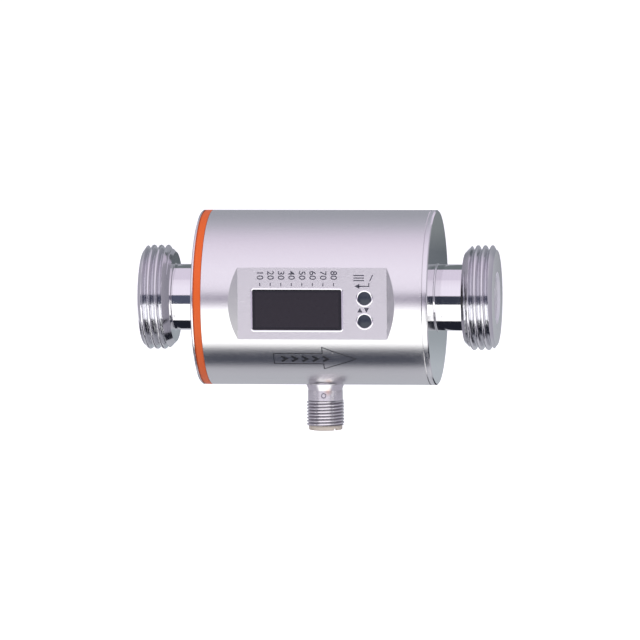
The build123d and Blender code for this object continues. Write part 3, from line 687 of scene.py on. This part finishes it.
def flow_arrow():
    """The outlined flow arrow on the lower front, with five chevrons inside it."""
    tail, neck, tip = -12.0, 3.6, 14.1
    level, shaft, head = -19.3, 2.27, 4.77
    points = [
        (tail, level - shaft),
        (neck, level - shaft),
        (neck, level - head),
        (tip, level),
        (neck, level + head),
        (neck, level + shaft),
        (tail, level + shaft),
    ]
    outline_width, chevron_width, longest = 0.26, 0.75, 0.8
    quads = line_quads(points, outline_width, closed=True)
    first, pitch, length, half_height = -9.6, 3.3, 1.6, 1.15
    for index in range(5):
        start = first + pitch * index
        chevron = [(start, level + half_height), (start + length, level), (start, level - half_height)]
        quads += line_quads(chevron, chevron_width)
    bent = [part for quad in quads for part in split_quad(quad, longest)]
    marking("flow_arrow", bent, on_housing, deep_marking_steel)


def button_symbols():
    """Plain signs: a list, a stroke and a return hook by the upper button, two arrows by the lower one."""
    left, right, lowest, spacing = 14.0, 17.4, 7.3, 0.8
    stroke = (19.2, 7.1), (20.1, 9.1)
    hook = (18.9, 6.5), (18.9, 5.5), (15.5, 5.5)
    hook_head = (15.9, 6.3), (14.3, 5.5), (15.9, 4.7)
    up_arrow = (15.2, -2.75), (16.8, -2.75), (16.0, -1.25)
    down_arrow = (17.3, -1.3), (18.9, -1.3), (18.1, -2.8)
    list_width, stroke_width, hook_width = 0.34, 0.3, 0.36
    shapes = []
    for row in range(3):
        height = lowest + row * spacing
        shapes += line_quads([(left, height), (right, height)], list_width)
    shapes += line_quads(stroke, stroke_width)
    shapes += line_quads(hook, hook_width)
    for corners in (hook_head, up_arrow, down_arrow):
        shapes.append([Vector(corner) for corner in corners])
    marking("button_symbols", shapes, on_recess, marking_steel)


def lamp_ticks():
    """Short lines that point down from each number to the lamp behind the window."""
    bottom, top, width = 5.5, 6.5, 0.3
    quads = []
    for across in LAMP_PLACES:
        quads += line_quads([(across, bottom), (across, top)], width)
    marking("lamp_ticks", quads, on_recess, marking_steel)


def lamp_numbers():
    """The numbers 10 to 80, turned to read downwards, over the lamps."""
    size, boldness, height = 2.9, 0.03, 8.9
    turned = Matrix(((0, 1, 0), (0, 0, -1), (-1, 0, 0))).to_4x4()
    shape = bmesh.new()
    for index, across in enumerate(LAMP_PLACES):
        digit = bpy.data.curves.new("digit", "FONT")
        digit.body = str(10 * (index + 1))
        digit.size = size * MM
        digit.offset = boldness * MM
        digit.extrude = MARK_LIFT * MM
        digit.align_x = "CENTER"
        digit.align_y = "CENTER"
        holder = bpy.data.objects.new("digit", digit)
        flat = bpy.data.meshes.new_from_object(holder)
        place = Vector(on_recess(across, height)) * MM
        flat.transform(Matrix.Translation(place) @ turned)
        shape.from_mesh(flat)
        bpy.data.objects.remove(holder)
        bpy.data.meshes.remove(flat)
    mesh = bpy.data.meshes.new("lamp_numbers")
    shape.to_mesh(mesh)
    shape.free()
    new_piece("lamp_numbers", mesh, marking_steel)


def plug_mark():
    """A small ring on the plug's shank that shows how to turn the cable socket."""
    centre, radius, width = (0.2, -30.98), 0.7, 0.22
    quads = line_quads(circle(centre, radius, steps=24), width, closed=True)
    marking("plug_mark", quads, on_shank, marking_steel)


flow_arrow()
button_symbols()
lamp_ticks()
lamp_numbers()
plug_mark()

# Bright edges that the milling tool left round the window and the buttons, in millimetres
EDGE_WIDTH = 0.5
EDGE_HEIGHT = 0.06
EDGE_FOOT = 0.005
EDGE_SINK = 0.1
WINDOW_GAP = 0.05
WINDOW_CORNER = 0.5
CORNER_STEPS = 6
BUTTON_HOLE_RADIUS = 2.15
BUTTON_EDGE_STEPS = 48


def milled_edge(name, inner, outer):
    """A low bright ridge round an opening in the recess floor, between two lines."""
    crest = [((a + c) / 2, (b + d) / 2) for (a, b), (c, d) in zip(inner, outer)]
    rows = (
        (inner, -EDGE_SINK),
        (inner, EDGE_FOOT),
        (crest, EDGE_HEIGHT),
        (outer, EDGE_FOOT),
        (outer, -2 * EDGE_FOOT),
    )
    points = [Vector((across, -(RECESS_FLOOR + rise), up)) * MM for line, rise in rows for across, up in line]
    mesh = closed_mesh(name, points, len(inner))
    piece = new_piece(name, mesh, materials["polished_steel"])


def window_line(gap):
    """Points of the window's outline with round corners, this far outside it."""
    left, right = reach("display_window", "X")
    bottom, top = reach("display_window", "Z")
    left, right = left + WINDOW_CORNER, right - WINDOW_CORNER
    bottom, top = bottom + WINDOW_CORNER, top - WINDOW_CORNER
    radius = WINDOW_CORNER + gap
    points = []
    for quarter, (across, up) in enumerate(((right, top), (left, top), (left, bottom), (right, bottom))):
        for step in range(CORNER_STEPS + 1):
            turn = math.pi / 2 * (quarter + step / CORNER_STEPS)
            points.append((across + radius * math.cos(turn), up + radius * math.sin(turn)))
    return points


def milled_edges():
    """The edges of the three openings."""
    milled_edge("window_edge", window_line(WINDOW_GAP), window_line(WINDOW_GAP + EDGE_WIDTH))
    for button in ("mode", "set"):
        centre = [middle(f"{button}_button_cap", axis) for axis in ("X", "Z")]
        inner = circle(centre, BUTTON_HOLE_RADIUS, BUTTON_EDGE_STEPS)
        outer = circle(centre, BUTTON_HOLE_RADIUS + EDGE_WIDTH, BUTTON_EDGE_STEPS)
        milled_edge(f"{button}_button_edge", inner, outer)


milled_edges()

# The studio's tent, round the meter's own axis. Its tilt is in degrees: 0 in front, 90 above and -90 below.
# Each stop of a ramp is its place, a strength and a colour.
TENT_RADIUS = 30.0
TENT_ROUND = (
    (-180, 0.52, "#F4F6FF"),
    (-150, 0.62, "#F4F6FF"),
    (-102, 0.66, "#F6F6FF"),
    (-94, 0.06, "#B4C2FF"),
    (-67, 0.06, "#B4C2FF"),
    (-61, 1.80, "#FFFFFF"),
    (-12, 1.80, "#FFFFFF"),
    (-6, 0.95, "#F2E4FF"),
    (-2, 0.29, "#E6DCFF"),
    (7, 0.29, "#E6DCFF"),
    (10, 1.18, "#F8F1FF"),
    (40, 1.18, "#F8F1FF"),
    (75, 1.03, "#F8EEFF"),
    (90, 0.91, "#F6ECFF"),
    (113, 0.63, "#F2F0FF"),
    (135, 0.50, "#F0F2FF"),
    (180, 0.42, "#F0F4FF"),
)

# The tent's plain sides, and the shares of X in a direction where they start and where they are all there is
TENT_SIDES = 0.58, "#F4F0FF"
SIDES_START = 0.48
SIDES_FULL = 0.68

# Cards, with their places in millimetres from the meter's middle
WHITE, LILAC, SLATE, GREY = "#FFFFFF", "#F6ECFF", "#C8D4FF", "#E0EEF4"
CARDS_FRONT = -35.0
NECK_CARDS_BELOW = -33.0
NECK_CARDS_ABOVE = 30.0
RING_CARDS_BELOW = -24.0
BACKDROP_Y = 300.0
BACKDROP_X = -70.0, 89.0
BACKDROP_HEIGHTS = (
    (-130, 0.55, "#E8F0F8"),
    (-50, 0.60, "#E8F0F8"),
    (-40, 0.46, "#E4EEF6"),
    (-29, 0.40, "#E4EEF6"),
    (-22, 0.21, "#DCE8F4"),
    (-8, 0.18, "#DCE8F4"),
    (0, 0.27, "#E4EEF2"),
    (10, 0.30, "#E4EEF2"),
)

# Floor and lamp, in metres and watts
FLOOR_HEIGHT = -0.12
FLOOR_SIZE = 40.0
KEY_SIZE = 1.2
KEY_DIRECTION = 0.3, -1.0, 0.9
KEY_DISTANCE = 1.6
KEY_POWER = 14.0


def dimmed(strength, colour):
    """A colour at a strength, as linear red, green, blue and alpha."""
    return [channel * strength for channel in linear(colour)[:3]] + [1.0]


def strength_ramp(tree, position, stops, unit):
    """A ramp of light. The position is in radians or metres, and the unit turns the stops' places into it."""
    start, end = stops[0][0], stops[-1][0]
    span = {"From Min": start * unit, "From Max": end * unit}
    share = add(tree, "ShaderNodeMapRange", {"Value": position, **span})
    ramp = add(tree, "ShaderNodeValToRGB", {"Fac": share.outputs["Result"]})
    elements = ramp.color_ramp.elements
    while len(elements) < len(stops):
        elements.new(0.5)
    for element, (place, strength, colour) in zip(elements, stops):
        element.position = (place - start) / (end - start)
        element.color = dimmed(strength, colour)
    return ramp.outputs["Color"]


def glowing(name):
    """A new material that only gives light, and its node tree and light."""
    material = bpy.data.materials.new(name)
    material.use_nodes = True
    tree = material.node_tree
    tree.nodes.remove(tree.nodes["Principled BSDF"])
    glow = add(tree, "ShaderNodeEmission")
    tree.links.new(glow.outputs[0], tree.nodes["Material Output"].inputs["Surface"])
    return material, tree, glow


def show_only_to(piece, rays):
    """Let only these kinds of ray meet a piece of the studio."""
    for kind in ("camera", "diffuse", "glossy", "transmission", "shadow"):
        setattr(piece, f"visible_{kind}", kind in rays)


def light_tent():
    """A translucent tent round the meter, lit unevenly from outside: bright in front and above, dark between.
    The camera sees through it."""
    material, tree, glow = glowing("tent_cloth_lit_from_outside")
    toward = add(tree, "ShaderNodeVectorMath", {0: solid_place(tree)}, operation="NORMALIZE")
    parts = add(tree, "ShaderNodeSeparateXYZ", {"Vector": toward.outputs[0]})
    front = add(tree, "ShaderNodeMath", {0: parts.outputs["Y"], 1: -1.0}, operation="MULTIPLY")
    tilt = add(tree, "ShaderNodeMath", {0: parts.outputs["Z"], 1: front.outputs[0]}, operation="ARCTAN2")
    aside = add(tree, "ShaderNodeMath", {0: parts.outputs["X"]}, operation="ABSOLUTE")
    blend = {"Value": aside.outputs[0], "From Min": SIDES_START, "From Max": SIDES_FULL}
    end_on = add(tree, "ShaderNodeMapRange", blend, interpolation_type="SMOOTHSTEP")
    around = strength_ramp(tree, tilt.outputs[0], TENT_ROUND, math.radians(1))
    sides = {"Factor": end_on.outputs["Result"], FIRST: around, SECOND: dimmed(*TENT_SIDES)}
    light = add(tree, "ShaderNodeMix", sides, data_type="RGBA")
    tree.links.new(light.outputs[MIXED], glow.inputs["Color"])
    bpy.ops.mesh.primitive_uv_sphere_add(segments=48, ring_count=24, radius=TENT_RADIUS)
    tent = bpy.context.object
    tent.name = "light_tent"
    tent.data.materials.append(material)
    show_only_to(tent, ("diffuse", "glossy"))


def flat_card(name, material, low, high):
    """A flat card between two corners, which have one coordinate in common. Only gloss shows it."""
    level = next(axis for axis in range(3) if low[axis] == high[axis])
    first, second = [axis for axis in range(3) if axis != level]
    corners = []
    for along, across in ((low, low), (high, low), (high, high), (low, high)):
        corner = list(low)
        corner[first], corner[second] = along[first], across[second]
        corners.append(Vector(corner) * MM)
    mesh = bpy.data.meshes.new(name)
    mesh.from_pydata(corners, [], [(0, 1, 2, 3)])
    mesh.materials.append(material)
    card = bpy.data.objects.new(name, mesh)
    bpy.context.scene.collection.objects.link(card)
    show_only_to(card, ("glossy",))


def plain_card(name, strength, colour, low, high):
    """A card of one strength and colour."""
    material, tree, glow = glowing(f"{name}_card")
    glow.inputs["Color"].default_value = dimmed(strength, colour)
    flat_card(name, material, low, high)


def neck_cards(end, near, far, top, shade, behind, edge):
    """Cards by a neck, from near to far along X. A dark one in front has this top and shade. Below are a
    white and a black one, which ends this far behind. Above, a pale and a grey one meet at this edge."""
    front, below, above = CARDS_FRONT, NECK_CARDS_BELOW, NECK_CARDS_ABOVE
    plain_card(f"{end}_neck_front", shade, SLATE, (near, front, -10.7), (far, front, top))
    plain_card(f"{end}_neck_white", 1.6, WHITE, (near, -28.0, below), (far, -9.8, below))
    plain_card(f"{end}_neck_black", 0.03, SLATE, (near, -9.8, below), (far, behind, below))
    plain_card(f"{end}_neck_pale", 0.95, LILAC, (near, -18.5, above), (far, edge, above))
    plain_card(f"{end}_neck_above", 0.25, GREY, (near, edge, above), (far, 75.0, above))


def ring_cards(end, near, far):
    """Cards by a threaded ring, from near to far along X: a dark and a white one in front and a black one
    below."""
    front, below = CARDS_FRONT, RING_CARDS_BELOW
    plain_card(f"{end}_ring_front", 0.2, SLATE, (near, front, -5.9), (far, front, 4.9))
    plain_card(f"{end}_ring_white", 3.2, WHITE, (near, front, -32.0), (far, front, -5.9))
    plain_card(f"{end}_ring_below", 0.03, SLATE, (near, -28.4, below), (far, -11.0, below))


def recess_card():
    """A white card past the outlet that lights the left end of the recess."""
    plain_card("recess_end_light", 1.0, WHITE, (100.0, -120.0, -34.0), (100.0, -20.0, -16.0))


def grey_backdrop():
    """A grey card behind the meter, dark at its top: the end caps' and rings' flat faces show it."""
    material, tree, glow = glowing("grey_backdrop_card")
    parts = add(tree, "ShaderNodeSeparateXYZ", {"Vector": solid_place(tree)})
    light = strength_ramp(tree, parts.outputs["Z"], BACKDROP_HEIGHTS, MM)
    tree.links.new(light, glow.inputs["Color"])
    (left, right), bottom, top = BACKDROP_X, BACKDROP_HEIGHTS[0][0], BACKDROP_HEIGHTS[-1][0]
    flat_card("grey_backdrop", material, (left, BACKDROP_Y, bottom), (right, BACKDROP_Y, top))


def straight_rays(tree):
    """1 for rays that should see a white studio: the camera's own, and those from gloss or through glass."""
    path = add(tree, "ShaderNodeLightPath")
    seen = path.outputs["Is Camera Ray"]
    for kind in ("Is Glossy Ray", "Is Transmission Ray"):
        seen = add(tree, "ShaderNodeMath", {0: seen, 1: path.outputs[kind]}, operation="MAXIMUM").outputs[0]
    return seen


def white_surroundings():
    """Plain white all round, past the tent and the floor."""
    world = bpy.data.worlds.new("white_surroundings")
    world.use_nodes = True
    background = world.node_tree.nodes["Background"]
    background.inputs["Color"].default_value = linear("#FFFFFF")
    world.node_tree.links.new(straight_rays(world.node_tree), background.inputs["Strength"])
    bpy.context.scene.world = world


def pale_floor():
    """A wide floor of matt white paper under the meter, which the camera sees as white with a soft shadow."""
    bpy.ops.mesh.primitive_plane_add(size=FLOOR_SIZE, location=(0, 0, FLOOR_HEIGHT))
    floor = bpy.context.object
    floor.name = "floor"
    material, tree, shader = shaded("matt_white_paper", Roughness=0.9)
    shader.inputs["Base Color"].default_value = linear("#F4F4F4")
    glow = add(tree, "ShaderNodeMath", {0: straight_rays(tree), 1: 0.5}, operation="MULTIPLY")
    shader.inputs["Emission Color"].default_value = linear("#FFFFFF")
    tree.links.new(glow.outputs[0], shader.inputs["Emission Strength"])
    floor.data.materials.append(material)
    floor.visible_glossy = False


def key_lamp():
    """A large soft lamp above and in front, for the pieces that aren't metal."""
    lamp = bpy.data.lights.new("key_lamp", "AREA")
    lamp.shape = "SQUARE"
    lamp.size = KEY_SIZE
    lamp.energy = KEY_POWER
    holder = bpy.data.objects.new("key_lamp", lamp)
    bpy.context.scene.collection.objects.link(holder)
    away = Vector(KEY_DIRECTION).normalized()
    holder.location = away * KEY_DISTANCE
    holder.rotation_euler = away.to_track_quat("Z", "Y").to_euler()
    holder.visible_glossy = False
    holder.visible_camera = False


light_tent()
neck_cards("inlet", near=-50.4, far=-41.0, top=5.7, shade=0.17, behind=26.0, edge=9.5)
neck_cards("outlet", near=36.3, far=43.6, top=5.2, shade=0.08, behind=60.0, edge=6.3)
ring_cards("inlet", near=-59.4, far=-50.4)
ring_cards("outlet", near=44.6, far=54.0)
recess_card()
grey_backdrop()
white_surroundings()
pale_floor()
key_lamp()

# Camera: a long lens, a little to the outlet's side of the display and a little above it.
# Its distance and shifts are in millimetres, and its scale is that of a picture 640 pixels wide.
CAMERA_AZIMUTH = math.radians(8.062)
CAMERA_ELEVATION = math.radians(4.791)
CAMERA_ROLL = math.radians(-0.481)
CAMERA_DISTANCE = 2149.6
CAMERA_SIDE = 0.179
CAMERA_DROP = 7.26
PIXELS_PER_MM = 3.147
IMAGE_WIDTH = 640
SENSOR = 36.0


def photo_camera():
    """The camera at the photograph's angle and distance."""
    outward = math.cos(CAMERA_ELEVATION)
    back = Vector(
        (
            math.sin(CAMERA_AZIMUTH) * outward,
            -math.cos(CAMERA_AZIMUTH) * outward,
            math.sin(CAMERA_ELEVATION),
        )
    )
    level = Vector((math.cos(CAMERA_AZIMUTH), math.sin(CAMERA_AZIMUTH), 0))
    upright = back.cross(level)
    right = math.cos(CAMERA_ROLL) * level + math.sin(CAMERA_ROLL) * upright
    up = -math.sin(CAMERA_ROLL) * level + math.cos(CAMERA_ROLL) * upright
    place = (back * CAMERA_DISTANCE - right * CAMERA_SIDE - up * CAMERA_DROP) * MM
    lens = bpy.data.cameras.new("camera")
    lens.sensor_width = SENSOR
    lens.lens = PIXELS_PER_MM * CAMERA_DISTANCE / IMAGE_WIDTH * SENSOR
    lens.clip_start, lens.clip_end = 0.01, 100
    camera = bpy.data.objects.new("camera", lens)
    bpy.context.scene.collection.objects.link(camera)
    camera.matrix_world = Matrix.Translation(place) @ Matrix((right, up, back)).transposed().to_4x4()
    bpy.context.scene.camera = camera


photo_camera()

bpy.context.scene.view_settings.view_transform = "Standard"
